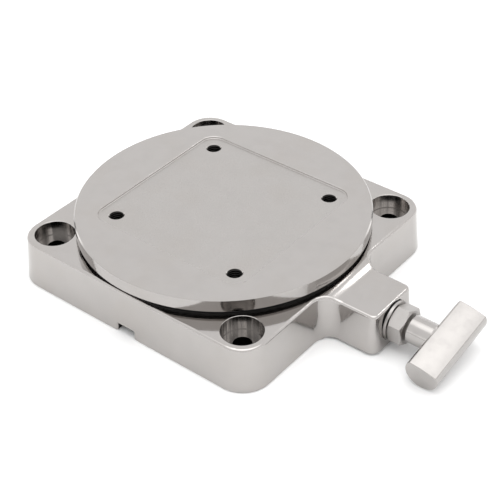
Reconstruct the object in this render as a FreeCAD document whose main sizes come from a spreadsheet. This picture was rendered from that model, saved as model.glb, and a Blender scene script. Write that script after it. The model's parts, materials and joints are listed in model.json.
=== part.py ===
import FreeCAD, Part
import Sketcher
import math
import os
import re

# A swivelling table for a bench vice. The frame has +Z up and its origin on the
# turntable's axis, on the underside of the base. The clamp screw lies along +X.

doc = FreeCAD.newDocument("rotary_table")

# ---------------------------------------------------------------- driving sizes

SIZES = {
    "base_side": (150, "length of each side of the square base, at its foot"),
    "base_height": (24.3, "underside of the base to its top face"),
    "draft_angle": (4.7, "lean of the cast walls, in degrees"),
    "corner_radius": (15, "upright corners of the base, at its foot"),
    "top_edge_radius": (1.5, "rounded top edge of the base and boss"),
    "foot_edge_radius": (0.8, "rounded lower edge of the base"),
    "bolt_spacing": (119, "hole to hole, both ways, of the bench bolts"),
    "bolt_hole": (9, "clearance hole for an M8 bench bolt"),
    "counterbore_width": (20, "bore that takes the bolt head and its washer"),
    "counterbore_depth": (8, "depth of the bolt head bore"),
    "bore_edge_break": (0.35, "rounded mouths of the bolt head bores"),
    "key_slot_width": (10, "locating key slot under the base"),
    "key_slot_depth": (5, "depth of the key slot"),
    "slot_edge_radius": (1.4, "lower edges of the key slot"),
    "boss_width": (33.8, "clamp boss across, at its foot"),
    "boss_reach": (28.3, "how far the boss stands out from the base, at its foot"),
    "boss_flare": (8, "radius where the boss widens into the base, at its foot"),
    "boss_corner": (5, "upright corners at the boss end, at its foot"),
    "boss_drop": (2.1, "boss top below the base top"),
    "boss_blend": (10, "length of the curve down to the boss top"),
    "boss_lift": (1.5, "boss underside above the bench"),
    "boss_land": (1, "flat foot kept before the boss underside rises"),
    "clamp_height": (12.2, "axis of the clamp screw above the bench"),
    "plate_diameter": (148, "turntable plate across"),
    "plate_thickness": (7.3, "turntable plate at its rim"),
    "plate_gap": (2.2, "daylight between the base and the plate"),
    "plate_chamfer": (0.6, "broken edges of the plate rim"),
    "seat_side": (92.4, "square seat sunk into the plate"),
    "seat_corner": (7.8, "corners of the seat"),
    "seat_depth": (1.1, "depth of the seat"),
    "seat_edge_break": (0.5, "rounded rim and cove of the seat"),
    "thread_spacing": (75, "hole to hole, both ways, of the tapped holes"),
    "thread_drill": (6.8, "core of an M8 thread"),
    "thread_mouth": (8.4, "countersink at the thread's mouth"),
    "hub_diameter": (90, "spindle hub under the plate"),
    "hub_wall": (15, "wall of the hollow hub"),
    "bush_wall": (3, "wall of the bronze spindle bush"),
    "track_depth": (1.5, "clamp track sunk into the hub"),
    "track_clearance": (0.5, "clamp track above and below the shoe"),
    "relief_depth": (3, "depth of the relief sunk into the base top"),
    "relief_lip": (0.5, "relief's edge inside the upper thrust washer"),
    "shoulder_width": (4.5, "shoulder round the bush that the keeper pulls against"),
    "shoulder_height": (6, "height of that shoulder, the depth of the keeper's pocket"),
    "keeper_gap": (2.5, "keeper plate clear of its pocket's wall"),
    "keeper_thickness": (3.5, "keeper plate"),
    "keeper_screw_thread": (6, "thread of the keeper screws"),
    "keeper_screw_head": (12, "head of the keeper screws"),
    "keeper_screw_grip": (9, "length of keeper screw in the hub"),
    "keeper_screw_socket": (4, "hexagon key of the keeper screws"),
    "thrust_inside": (120, "upper thrust washer, inside"),
    "thrust_width": (5, "upper thrust washer, inside to outside"),
    "lower_washer_gap": (1.5, "lower thrust washer clear of the pocket's wall"),
    "lower_washer_thickness": (1.2, "lower thrust washer"),
    "seal_clearance": (1.5, "dust seal outside the upper thrust washer"),
    "seal_width": (5, "dust seal, inside to outside"),
    "seal_seat": (1, "depth of the seal's groove in the plate"),
    "seal_lift": (0.2, "dust seal clear of the base"),
    "shoe_diameter": (10, "brass clamp shoe"),
    "shoe_cup_depth": (9.5, "cup in the shoe that holds the screw's tip"),
    "shoe_nose": (10.8, "solid brass in front of the cup, at the axis"),
    "shoe_backed_off": (0.3, "gap from the shoe to the track at rest"),
    "clip_width": (0.9, "spring clip that holds the screw in the shoe"),
    "clip_bite": (0.6, "how deep the clip sits in the shoe"),
    "clip_setback": (5.5, "clip groove behind the cup floor"),
    "tip_diameter": (6.4, "turned tip of the clamp screw"),
    "tip_neck": (5, "neck under the clip"),
    "tip_length": (9.9, "length of the turned tip"),
    "tip_gap": (1.95, "screw tip clear of the cup floor"),
    "ball_diameter": (4, "steel thrust ball"),
    "screw_thread": (10, "clamp screw"),
    "spigot_diameter": (8, "screw end inside the handle"),
    "spigot_length": (15, "length of the spigot"),
    "guide_thread": (16, "outside thread of the guide bush"),
    "guide_thread_length": (16, "guide bush thread inside the boss"),
    "guide_washer_diameter": (19.8, "washer under the guide bush"),
    "guide_washer_thickness": (2.3, "washer under the guide bush"),
    "guide_hex_flats": (17, "guide bush hexagon across flats"),
    "guide_hex_length": (7.8, "guide bush hexagon"),
    "guide_hex_turn": (-6, "hexagon turned this many degrees where it tightened"),
    "hex_bevel": (30, "angle of the bevel on the hexagon's corners"),
    "handle_gap": (1.3, "bare screw between the hexagon and the handle"),
    "shank_diameter": (13.8, "handle shank"),
    "shank_length": (9.5, "handle shank up to the crossbar"),
    "shank_sink": (0.5, "shank kept this far below the edges of the upper face"),
    "bar_diameter": (16.8, "round crossbar across"),
    "bar_length": (43.4, "crossbar, end to end"),
    "bar_flat_height": (4.6, "edges of the crossbar's upper face above its centre"),
    "bar_crown_radius": (45, "slight crown of the crossbar's upper face"),
    "bar_flat_tilt": (13, "upper face leans outward by this many degrees"),
    "bar_edge_radius": (0.7, "long edges of the crossbar's upper face"),
    "handle_turn": (10, "handle's turn about the screw where it stopped, in degrees"),
    "bar_end_radius": (0.5, "edges of the crossbar's ends"),
    "lock_screw_thread": (4, "grub screw that locks the handle"),
    "lock_screw_setback": (4.6, "grub screw from the shank's end"),
    "lock_screw_sunk": (0.3, "grub screw below the shank's surface"),
    "lock_screw_socket": (2, "hexagon key of the grub screw"),
    "running_fit": (0.05, "clearance between sliding and turning faces"),
    "loose_fit": (0.3, "clearance where pieces must not touch"),
    "cut_margin": (1, "how far a cut runs past the face it leaves"),
}

sheet = doc.addObject("Spreadsheet::Sheet", "sizes")
for row, (alias, (number, meaning)) in enumerate(SIZES.items(), start=1):
    sheet.set(f"A{row}", meaning)
    sheet.set(f"B{row}", str(number))
    sheet.setAlias(f"B{row}", alias)
doc.recompute()


def sized(text):
    """Write an expression on the named sizes the way the document wants it."""
    return re.sub(r"\b([a-z]+(?:_[a-z]+)+)\b", r"sizes.\1", str(text))


def value(text):
    """Work out such an expression as a plain number."""
    result = sheet.evalExpression(sized(text))
    return float(getattr(result, "Value", result))


# Places that several pieces share, each from the sizes above.
LEAN = "tan(draft_angle * 1 deg)"
BASE_EDGE = "(base_side / 2)"
TOP_EDGE = f"({BASE_EDGE} - base_height * {LEAN})"
BOSS_TOP = "(base_height - boss_drop)"
BOSS_FOOT_END = f"({BASE_EDGE} + boss_reach)"
BOSS_END = f"({BOSS_FOOT_END} - {BOSS_TOP} * {LEAN})"
PLATE_BOTTOM = "(base_height + plate_gap)"
PLATE_TOP = f"({PLATE_BOTTOM} + plate_thickness)"
SEAT_FLOOR = f"({PLATE_TOP} - seat_depth)"
BUSH_BORE = "(hub_diameter / 2)"
BUSH_OUTSIDE = "(hub_diameter / 2 + bush_wall)"
HUB_RADIUS = "(hub_diameter / 2 - running_fit)"
TRACK_RADIUS = f"({HUB_RADIUS} - track_depth)"
TRACK_HALF = "(shoe_diameter / 2 + track_clearance)"
HUB_HOLLOW = "(hub_diameter / 2 - hub_wall)"
SCREW_CIRCLE = "(hub_diameter / 2 - hub_wall / 2)"
POCKET_RADIUS = f"({BUSH_OUTSIDE} + shoulder_width)"
KEEPER_RADIUS = f"({POCKET_RADIUS} - keeper_gap)"
THRUST_OUTSIDE = "(thrust_inside / 2 + thrust_width)"
SEAL_INSIDE = f"({THRUST_OUTSIDE} + seal_clearance)"
SEAL_OUTSIDE = f"({SEAL_INSIDE} + seal_width)"
RELIEF_FLOOR = "(base_height - relief_depth)"
HUB_BOTTOM = "(shoulder_height - lower_washer_thickness - running_fit)"
KEEPER_BOTTOM = f"({HUB_BOTTOM} - keeper_thickness)"
SHOE_FACE = f"({TRACK_RADIUS} + shoe_backed_off)"
CUP_FLOOR = f"({SHOE_FACE} + shoe_nose)"
SHOE_END = f"({CUP_FLOOR} + shoe_cup_depth)"
CLIP_FRONT = f"({CUP_FLOOR} + clip_setback)"
TIP_FACE = f"({CUP_FLOOR} + tip_gap)"
THREAD_START = f"({TIP_FACE} + tip_length)"
GUIDE_START = f"({BOSS_END} - guide_thread_length)"
HEX_START = f"({BOSS_END} + guide_washer_thickness)"
HEX_END = f"({HEX_START} + guide_hex_length)"
HANDLE_START = f"({HEX_END} + handle_gap)"
BAR_CENTRE = f"({HANDLE_START} + shank_length + bar_diameter / 2)"


# ---------------------------------------------------------------- drawing tools

def origin_part(body, role):
    return next(item for item in body.Origin.OriginFeatures if item.Role == role)


def new_body(label):
    body = doc.addObject("PartDesign::Body", label)
    body.Label = label
    return body


def new_sketch(body, plane, name, right="0", up="0", out="0"):
    """A sketch on one of the body's origin planes, moved by the three offsets."""
    sketch = body.newObject("Sketcher::SketchObject", name)
    sketch.AttachmentSupport = (origin_part(body, plane), [""])
    sketch.MapMode = "FlatFace"
    for letter, shift in zip("xyz", (right, up, out)):
        if shift != "0":
            sketch.setExpression(f"AttachmentOffset.Base.{letter}", sized(shift))
    return sketch


def pin_point(sketch, geometry, end, x, y):
    """Hold a point of the sketch at x, y from its origin."""
    for kind, distance in (("DistanceX", x), ("DistanceY", y)):
        index = sketch.addConstraint(
            Sketcher.Constraint(kind, -1, 1, geometry, end, value(distance)))
        if distance != "0":
            sketch.setExpression(f"Constraints[{index}]", sized(distance))


def arc_through(start, end, radius, bulge):
    """The short arc from start to end that bulges left (+1) or right (-1) of its run."""
    run = end - start
    half = run.Length / 2
    left = FreeCAD.Vector(-run.y, run.x, 0).normalize()
    rise = radius - math.sqrt(max(radius * radius - half * half, 0))
    middle = (start + end) * 0.5 + left * (bulge * rise)
    return Part.Arc(start, middle, end)


def outline(sketch, points, arcs=None):
    """Draw a closed outline. Side number i is an arc where arcs[i] gives (radius, bulge)."""
    arcs = arcs or {}
    places = [FreeCAD.Vector(value(x), value(y), 0) for x, y in points]
    sides = []
    for i, start in enumerate(places):
        end = places[(i + 1) % len(places)]
        if i in arcs:
            radius, bulge = arcs[i]
            number = sketch.addGeometry(arc_through(start, end, value(radius), bulge))
        else:
            number = sketch.addGeometry(Part.LineSegment(start, end))
        forward = sketch.getPoint(number, 1).distanceToPoint(start) < 1e-6
        sides.append((number, 1, 2) if forward else (number, 2, 1))
    for i, (number, first, last) in enumerate(sides):
        follower, follower_first, _ = sides[(i + 1) % len(sides)]
        sketch.addConstraint(
            Sketcher.Constraint("Coincident", number, last, follower, follower_first))
        pin_point(sketch, number, first, *points[i])
        if i in arcs:
            index = sketch.addConstraint(
                Sketcher.Constraint("Radius", number, value(arcs[i][0])))
            sketch.setExpression(f"Constraints[{index}]", sized(arcs[i][0]))


def circle(sketch, x, y, diameter):
    centre = FreeCAD.Vector(value(x), value(y), 0)
    number = sketch.addGeometry(
        Part.Circle(centre, FreeCAD.Vector(0, 0, 1), value(diameter) / 2))
    pin_point(sketch, number, 3, x, y)
    index = sketch.addConstraint(Sketcher.Constraint("Diameter", number, value(diameter)))
    sketch.setExpression(f"Constraints[{index}]", sized(diameter))


def rectangle(sketch, left, bottom, right, top):
    outline(sketch, [(left, bottom), (right, bottom), (right, top), (left, top)])


def must_shrink(body, feature, before):
    doc.recompute()
    if feature.Shape.isNull() or feature.Shape.Volume > before - 0.01:
        raise RuntimeError(f"{body.Label}: {feature.Name} cuts nothing")


def pad(body, sketch, length, both_ways=False, lean=None):
    feature = body.newObject("PartDesign::Pad", sketch.Name + "_pad")
    feature.Profile = sketch
    feature.setExpression("Length", sized(length))
    feature.SideType = "Symmetric" if both_ways else "One side"
    if lean is not None:
        feature.setExpression("TaperAngle", sized(lean))
    doc.recompute()
    return feature


def pocket(body, sketch, depth=None, both_ways=False, upward=False):
    """Cut the sketch away, to a depth or right through."""
    before = body.Shape.Volume
    feature = body.newObject("PartDesign::Pocket", sketch.Name + "_pocket")
    feature.Profile = sketch
    feature.SideType = "Symmetric" if both_ways else "One side"
    feature.Reversed = upward
    if depth is None:
        feature.Type = "ThroughAll"
    else:
        feature.setExpression("Length", sized(depth))
    must_shrink(body, feature, before)
    return feature


def turn(body, sketch, axis="V_Axis", cut=False):
    """Revolve the sketch right round one of its own axes, as metal or as a cut."""
    before = body.Shape.Volume if cut else 0
    kind = "Groove" if cut else "Revolution"
    feature = body.newObject(f"PartDesign::{kind}", f"{sketch.Name}_{kind.lower()}")
    feature.Profile = sketch
    feature.ReferenceAxis = (sketch, [axis])
    feature.Angle = 360
    if cut:
        must_shrink(body, feature, before)
    doc.recompute()
    return feature


def turned(body, name, points, along_clamp=False, cut=False, arcs=None):
    """Turn an outline about the table's axis, or about the clamp screw's axis.

    Points are (radius, height) about the table's axis and (along, radius) about the screw's.
    """
    up = "clamp_height" if along_clamp else "0"
    sketch = new_sketch(body, "XZ_Plane", name, up=up)
    outline(sketch, points, arcs)
    return turn(body, sketch, "H_Axis" if along_clamp else "V_Axis", cut)


def ring(body, name, inside, outside, low, high, along_clamp=False, cut=False):
    """A plain ring. Inside and outside are diameters."""
    inner, outer = f"({inside}) / 2", f"({outside}) / 2"
    if along_clamp:
        points = [(low, inner), (high, inner), (high, outer), (low, outer)]
    else:
        points = [(inner, low), (outer, low), (outer, high), (inner, high)]
    return turned(body, name, points, along_clamp, cut)


def holes(body, sketch, diameter, mouth_kind="None", mouth=None, mouth_depth=None, depth=None,
          upward=False):
    """Drill the sketch's circles, with a counterbore or countersink at the mouth."""
    before = body.Shape.Volume
    doc.recompute()
    feature = body.newObject("PartDesign::Hole", sketch.Name + "_holes")
    feature.Profile = sketch
    feature.Reversed = upward
    feature.DepthType = "ThroughAll" if depth is None else "Dimension"
    if depth is not None:
        feature.setExpression("Depth", sized(depth))
        feature.DrillPoint = "Flat"
    feature.setExpression("Diameter", sized(diameter))
    feature.HoleCutType = mouth_kind
    if mouth is not None:
        feature.setExpression("HoleCutDiameter", sized(mouth))
    if mouth_kind == "Countersink":
        feature.HoleCutCountersinkAngle = 90
    if mouth_depth is not None:
        feature.setExpression("HoleCutDepth", sized(mouth_depth))
    must_shrink(body, feature, before)
    return feature


def pick_edges(body, wanted):
    """Names of the body's edges for which wanted(edge, its middle point) is true."""
    names = []
    for number, edge in enumerate(body.Shape.Edges, start=1):
        middle = edge.valueAt((edge.FirstParameter + edge.LastParameter) / 2)
        if wanted(edge, middle):
            names.append(f"Edge{number}")
    return names


def round_edges(body, name, radius, wanted):
    doc.recompute()
    names = pick_edges(body, wanted)
    if not names:
        raise RuntimeError(f"{body.Label}: no edge to round for {name}")
    feature = body.newObject("PartDesign::Fillet", name)
    feature.Base = (body.Tip if body.Tip != feature else feature.BaseFeature, names)
    feature.setExpression("Radius", sized(radius))
    doc.recompute()
    return feature


def near(a, b):
    return abs(a - b) < 1e-4


def four_corners(spacing):
    half = f"{spacing} / 2"
    return [(f"{sx}({half})", f"{sy}({half})") for sx in ("", "-") for sy in ("", "-")]


# ---------------------------------------------------------------- the base

def make_base_casting():
    """Square cast base with the clamp boss, bored for the spindle, bolts and clamp."""
    body = new_body("base_casting")
    edge, end, half = BASE_EDGE, BOSS_FOOT_END, "(boss_width / 2)"
    corner, flare, nose = "corner_radius", "boss_flare", "boss_corner"
    # The right-hand half of the plan, from the near corner to the far one, then the left.
    plan = new_sketch(body, "XY_Plane", "base_plan")
    outline(plan, [
        (f"-({edge} - {corner})", f"-{edge}"), (f"{edge} - {corner}", f"-{edge}"),
        (edge, f"-({edge} - {corner})"), (edge, f"-({half} + {flare})"),
        (f"{edge} + {flare}", f"-{half}"), (f"{end} - {nose}", f"-{half}"),
        (end, f"-({half} - {nose})"), (end, f"{half} - {nose}"),
        (f"{end} - {nose}", half), (f"{edge} + {flare}", half),
        (edge, f"{half} + {flare}"), (edge, f"{edge} - {corner}"),
        (f"{edge} - {corner}", edge), (f"-({edge} - {corner})", edge),
        (f"-{edge}", f"{edge} - {corner}"), (f"-{edge}", f"-({edge} - {corner})")],
        {1: (corner, -1), 3: (flare, 1), 5: (nose, -1), 7: (nose, -1), 9: (flare, 1),
         11: (corner, -1), 13: (corner, -1), 15: (corner, -1)})
    pad(body, plan, "base_height", lean="-draft_angle")
    edge_x, half_y = value(edge), value(half)

    # The boss top leaves the base top in an S made of two equal arcs.
    top, start, past = "base_height", TOP_EDGE, f"({end} + cut_margin)"
    bend = "(boss_blend * boss_blend + boss_drop * boss_drop) / (4 * boss_drop)"
    boss_top = new_sketch(body, "XZ_Plane", "boss_top")
    outline(boss_top,
            [(start, top), (f"{start} + boss_blend / 2", f"{top} - boss_drop / 2"),
             (f"{start} + boss_blend", BOSS_TOP), (past, BOSS_TOP),
             (past, f"{top} + cut_margin"), (start, f"{top} + cut_margin")],
            {0: (bend, 1), 1: (bend, -1)})
    pocket(body, boss_top, both_ways=True)

    # The underside of the boss clears the bench, with a cove where it meets the foot.
    cove = f"({edge} + boss_land)"
    boss_under = new_sketch(body, "XZ_Plane", "boss_under")
    outline(boss_under,
            [(cove, "-cut_margin"), (cove, "0"), (f"{cove} + boss_lift", "boss_lift"),
             (past, "boss_lift"), (past, "-cut_margin")],
            {1: ("boss_lift", 1)})
    pocket(body, boss_under, both_ways=True)

    height, drop = value(top), value("boss_drop")
    start_x, tip_x = value(start), value(BOSS_END)

    def on_top_outline(edge_shape, middle):
        if middle.z < height - drop - 1e-4:
            return False
        run = edge_shape.Vertexes[-1].Point - edge_shape.Vertexes[0].Point
        across = near(run.x, 0) and near(run.z, 0)
        return not (across and start_x - 1e-4 < middle.x < tip_x - 1e-4 and near(middle.y, 0))

    round_edges(body, "top_edges", "top_edge_radius", on_top_outline)
    round_edges(body, "foot_edges", "foot_edge_radius",
                lambda e, m: near(m.z, 0) and (m.x < edge_x - 1 or abs(m.y) > half_y + 5)
                and max(abs(m.x), abs(m.y)) > edge_x - value("corner_radius"))

    relief = "(thrust_inside / 2 - relief_lip)"
    turned(body, "spindle_bores", [
        ("0", "-cut_margin"), (POCKET_RADIUS, "-cut_margin"),
        (POCKET_RADIUS, "shoulder_height"), (BUSH_OUTSIDE, "shoulder_height"),
        (BUSH_OUTSIDE, RELIEF_FLOOR), (relief, RELIEF_FLOOR),
        (relief, f"{top} + cut_margin"), ("0", f"{top} + cut_margin")], cut=True)

    bolts = new_sketch(body, "XY_Plane", "bench_bolts", out="base_height")
    for x, y in four_corners("bolt_spacing"):
        circle(bolts, x, y, "bolt_hole")
    holes(body, bolts, "bolt_hole", "Counterbore", "counterbore_width", "counterbore_depth")
    bore_radius = value("counterbore_width / 2")
    round_edges(body, "bore_mouths", "bore_edge_break",
                lambda e, m: near(m.z, height) and hasattr(e.Curve, "Radius")
                and near(e.Curve.Radius, bore_radius))

    slot = new_sketch(body, "XZ_Plane", "key_slot")
    rectangle(slot, "-(key_slot_width / 2)", "-cut_margin", "key_slot_width / 2",
              "key_slot_depth")
    pocket(body, slot, both_ways=True)
    slot_side = value("key_slot_width / 2")
    round_edges(body, "slot_edges", "slot_edge_radius",
                lambda e, m: near(m.z, 0) and near(abs(m.x), slot_side)
                and abs(m.y) > value(POCKET_RADIUS))

    # The shoe slides in the inner bore, and the screw's thread runs in the outer one.
    shoe_bore = "(shoe_diameter / 2 + running_fit)"
    screw_bore, step = "(screw_thread / 2 + running_fit)", f"({THREAD_START} - cut_margin)"
    spot_face = "(guide_washer_diameter / 2 + loose_fit)"
    turned(body, "shoe_slide", [
        (BUSH_BORE, "0"), (step, "0"), (step, shoe_bore), (BUSH_BORE, shoe_bore)],
        along_clamp=True, cut=True)
    turned(body, "screw_bores", [
        (step, "0"), (step, screw_bore), (GUIDE_START, screw_bore),
        (GUIDE_START, "guide_thread / 2"), (BOSS_END, "guide_thread / 2"),
        (BOSS_END, spot_face), (past, spot_face), (past, "0")],
        along_clamp=True, cut=True)
    return body


def make_spindle_bush():
    """Bronze bush pressed into the base, with a window for the clamp shoe."""
    body = new_body("spindle_bush")
    ring(body, "bush_wall_ring", "hub_diameter", f"2 * {BUSH_OUTSIDE}", "shoulder_height",
         RELIEF_FLOOR)
    window = "(shoe_diameter / 2 + loose_fit)"
    turned(body, "shoe_window", [
        (f"{BUSH_BORE} - 4 * cut_margin", "0"), (f"{BUSH_OUTSIDE} + cut_margin", "0"),
        (f"{BUSH_OUTSIDE} + cut_margin", window), (f"{BUSH_BORE} - 4 * cut_margin", window)],
        along_clamp=True, cut=True)
    return body


def make_upper_thrust_washer():
    """Bearing ring that carries the plate on the base."""
    body = new_body("upper_thrust_washer")
    ring(body, "upper_ring", "thrust_inside", f"2 * {THRUST_OUTSIDE}", "base_height",
         f"{PLATE_BOTTOM} - running_fit")
    return body


def make_lower_thrust_washer():
    """Bearing ring between the base shoulder and the keeper."""
    body = new_body("lower_thrust_washer")
    ring(body, "lower_ring", "hub_diameter + 2 * loose_fit",
         f"2 * ({POCKET_RADIUS} - lower_washer_gap)",
         "shoulder_height - lower_washer_thickness", "shoulder_height")
    return body


def make_guide_bush():
    """Bush screwed into the boss that guides the clamp screw, with a bevelled hexagon."""
    body = new_body("guide_bush")
    corner = "(guide_hex_flats / (2 * cos(30 deg)))"
    hexagon = new_sketch(body, "YZ_Plane", "guide_hexagon", up="clamp_height", out=HEX_START)
    outline(hexagon, [
        (f"{corner} * sin({60 * step} deg + guide_hex_turn * 1 deg)",
         f"{corner} * cos({60 * step} deg + guide_hex_turn * 1 deg)") for step in range(6)])
    pad(body, hexagon, "guide_hex_length")
    turned(body, "guide_barrel", [
        (GUIDE_START, "0"), (f"{HEX_START} + cut_margin", "0"),
        (f"{HEX_START} + cut_margin", "guide_thread / 2"), (GUIDE_START, "guide_thread / 2")],
        along_clamp=True)
    # Both ends of the hexagon are bevelled to a circle just inside its flats.
    flat, past = "(guide_hex_flats / 2 - loose_fit)", "(guide_hex_flats / 2 + 2 * cut_margin)"
    slope = f"(({past} - {flat}) * tan(hex_bevel * 1 deg))"
    turned(body, "outer_bevel", [
        (HEX_END, flat), (HEX_END, past), (f"{HEX_END} - {slope}", past)],
        along_clamp=True, cut=True)
    turned(body, "inner_bevel", [
        (HEX_START, flat), (f"{HEX_START} + {slope}", past), (HEX_START, past)],
        along_clamp=True, cut=True)
    bore = "(screw_thread / 2 + running_fit)"
    turned(body, "guide_bore", [
        (f"{GUIDE_START} - cut_margin", "0"), (f"{HEX_END} + cut_margin", "0"),
        (f"{HEX_END} + cut_margin", bore), (f"{GUIDE_START} - cut_margin", bore)],
        along_clamp=True, cut=True)
    return body


def make_guide_bush_washer():
    """Black washer between the boss and the hexagon."""
    body = new_body("guide_bush_washer")
    ring(body, "guide_washer_ring", "guide_thread + 2 * running_fit", "guide_washer_diameter",
         BOSS_END, HEX_START, along_clamp=True)
    return body


# ---------------------------------------------------------------- the turntable

def make_turntable_plate():
    """Round plate and spindle hub in one piece, with the tapped seat on top."""
    body = new_body("turntable_plate")
    rim, bevel = "(plate_diameter / 2)", "plate_chamfer"
    track_low, track_high = f"(clamp_height - {TRACK_HALF})", f"(clamp_height + {TRACK_HALF})"
    turned(body, "plate_and_hub", [
        ("0", PLATE_BOTTOM), (HUB_HOLLOW, PLATE_BOTTOM), (HUB_HOLLOW, HUB_BOTTOM),
        (HUB_RADIUS, HUB_BOTTOM), (HUB_RADIUS, track_low), (TRACK_RADIUS, track_low),
        (TRACK_RADIUS, track_high), (HUB_RADIUS, track_high), (HUB_RADIUS, PLATE_BOTTOM),
        (f"{rim} - {bevel}", PLATE_BOTTOM), (rim, f"{PLATE_BOTTOM} + {bevel}"),
        (rim, f"{PLATE_TOP} - {bevel}"), (f"{rim} - {bevel}", PLATE_TOP), ("0", PLATE_TOP)])

    ring(body, "seal_groove", f"2 * {SEAL_INSIDE}", f"2 * {SEAL_OUTSIDE}",
         f"{PLATE_BOTTOM} - cut_margin", f"{PLATE_BOTTOM} + seal_seat", cut=True)

    far, flat = "(seat_side / 2)", "(seat_side / 2 - seat_corner)"
    seat = new_sketch(body, "XY_Plane", "vice_seat", out=PLATE_TOP)
    outline(seat,
            [(f"-{flat}", f"-{far}"), (flat, f"-{far}"), (far, f"-{flat}"), (far, flat),
             (flat, far), (f"-{flat}", far), (f"-{far}", flat), (f"-{far}", f"-{flat}")],
            {side: ("seat_corner", -1) for side in (1, 3, 5, 7)})
    pocket(body, seat, "seat_depth")
    reach, heights = value(far) + 1e-3, (value(PLATE_TOP), value(SEAT_FLOOR))
    round_edges(body, "seat_edges", "seat_edge_break",
                lambda e, m: max(abs(m.x), abs(m.y)) < reach
                and (near(m.z, heights[0]) or near(m.z, heights[1])))

    threads = new_sketch(body, "XY_Plane", "seat_threads", out=SEAT_FLOOR)
    for x, y in four_corners("thread_spacing"):
        circle(threads, x, y, "thread_drill")
    holes(body, threads, "thread_drill", "Countersink", "thread_mouth")

    tapped = new_sketch(body, "XY_Plane", "keeper_threads", out=HUB_BOTTOM)
    for step in range(6):
        x, y = keeper_screw_place(step)
        circle(tapped, x, y, "keeper_screw_thread")
    holes(body, tapped, "keeper_screw_thread", depth="keeper_screw_grip + 2 * cut_margin",
          upward=True)
    return body


def keeper_screw_place(step):
    angle = f"{60 * step + 30} deg"
    return f"{SCREW_CIRCLE} * cos({angle})", f"{SCREW_CIRCLE} * sin({angle})"


def make_dust_seal():
    """Rubber ring in the plate's groove that closes the gap to the base."""
    body = new_body("dust_seal")
    ring(body, "seal_ring", f"2 * {SEAL_INSIDE}", f"2 * {SEAL_OUTSIDE}",
         "base_height + seal_lift", f"{PLATE_BOTTOM} + seal_seat")
    return body


def make_keeper_plate():
    """Disc screwed under the hub that keeps the turntable on the base."""
    body = new_body("keeper_plate")
    turned(body, "keeper_disc", [
        ("0", KEEPER_BOTTOM), (KEEPER_RADIUS, KEEPER_BOTTOM), (KEEPER_RADIUS, HUB_BOTTOM),
        ("0", HUB_BOTTOM)])
    screws = new_sketch(body, "XY_Plane", "keeper_holes", out=KEEPER_BOTTOM)
    for step in range(6):
        x, y = keeper_screw_place(step)
        circle(screws, x, y, "keeper_screw_thread + loose_fit")
    holes(body, screws, "keeper_screw_thread + loose_fit", "Countersink",
          "keeper_screw_head + 2 * loose_fit", upward=True)
    return body


def make_keeper_screw(step):
    """Countersunk socket screw, drawn in place at angle zero and turned to its hole."""
    body = new_body(f"keeper_screw_{step + 1}")
    sunk = f"({KEEPER_BOTTOM} + loose_fit)"
    shank = "(keeper_screw_thread / 2)"
    head = "(keeper_screw_head / 2)"
    under_head = f"({sunk} + {head} - {shank})"
    profile = new_sketch(body, "XZ_Plane", f"screw_profile_{step + 1}",
                         right=SCREW_CIRCLE)
    outline(profile, [
        ("0", sunk), (head, sunk), (shank, under_head),
        (shank, f"{HUB_BOTTOM} + keeper_screw_grip"), ("0", f"{HUB_BOTTOM} + keeper_screw_grip")])
    turn(body, profile)
    socket = new_sketch(body, "XY_Plane", f"screw_socket_{step + 1}",
                        right=SCREW_CIRCLE, out=sunk)
    hexagon_points = [(f"keeper_screw_socket / (2 * cos(30 deg)) * cos({60 * turn_step} deg)",
                       f"keeper_screw_socket / (2 * cos(30 deg)) * sin({60 * turn_step} deg)")
                      for turn_step in range(6)]
    outline(socket, hexagon_points)
    pocket(body, socket, "keeper_screw_socket / 2", upward=True)
    body.Placement = FreeCAD.Placement(
        FreeCAD.Vector(), FreeCAD.Rotation(FreeCAD.Vector(0, 0, 1), 60 * step + 30))
    return body


# ---------------------------------------------------------------- the clamp

def make_clamp_shoe():
    """Brass plug whose hollowed face grips the hub; its cup holds the screw's tip."""
    body = new_body("clamp_shoe")
    outer, cup = "(shoe_diameter / 2)", "(tip_diameter / 2 + running_fit)"
    clip_low = f"({CLIP_FRONT} - running_fit)"
    clip_high = f"({CLIP_FRONT} + clip_width + running_fit)"
    turned(body, "shoe_profile", [
        (f"{SHOE_FACE} - 2 * cut_margin", "0"), (CUP_FLOOR, "0"), (CUP_FLOOR, cup),
        (clip_low, cup), (clip_low, f"{cup} + clip_bite"), (clip_high, f"{cup} + clip_bite"),
        (clip_high, cup), (SHOE_END, cup), (SHOE_END, outer),
        (f"{SHOE_FACE} - 2 * cut_margin", outer)], along_clamp=True)
    face = new_sketch(body, "XY_Plane", "shoe_face", out="clamp_height")
    circle(face, "0", "0", f"2 * {SHOE_FACE}")
    pocket(body, face, both_ways=True)
    return body


def make_shoe_clip():
    """Open spring ring in the shoe's groove that draws the shoe back with the screw."""
    body = new_body("shoe_clip")
    inside = "(tip_neck + 4 * running_fit)"
    ring(body, "clip_ring", inside, "tip_diameter + 2 * clip_bite",
         CLIP_FRONT, f"{CLIP_FRONT} + clip_width", along_clamp=True)
    gap = new_sketch(body, "YZ_Plane", "clip_gap", up="clamp_height", out=CLIP_FRONT)
    rectangle(gap, "-cut_margin", "0", "cut_margin", "tip_diameter")
    pocket(body, gap, both_ways=True)
    return body


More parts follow.
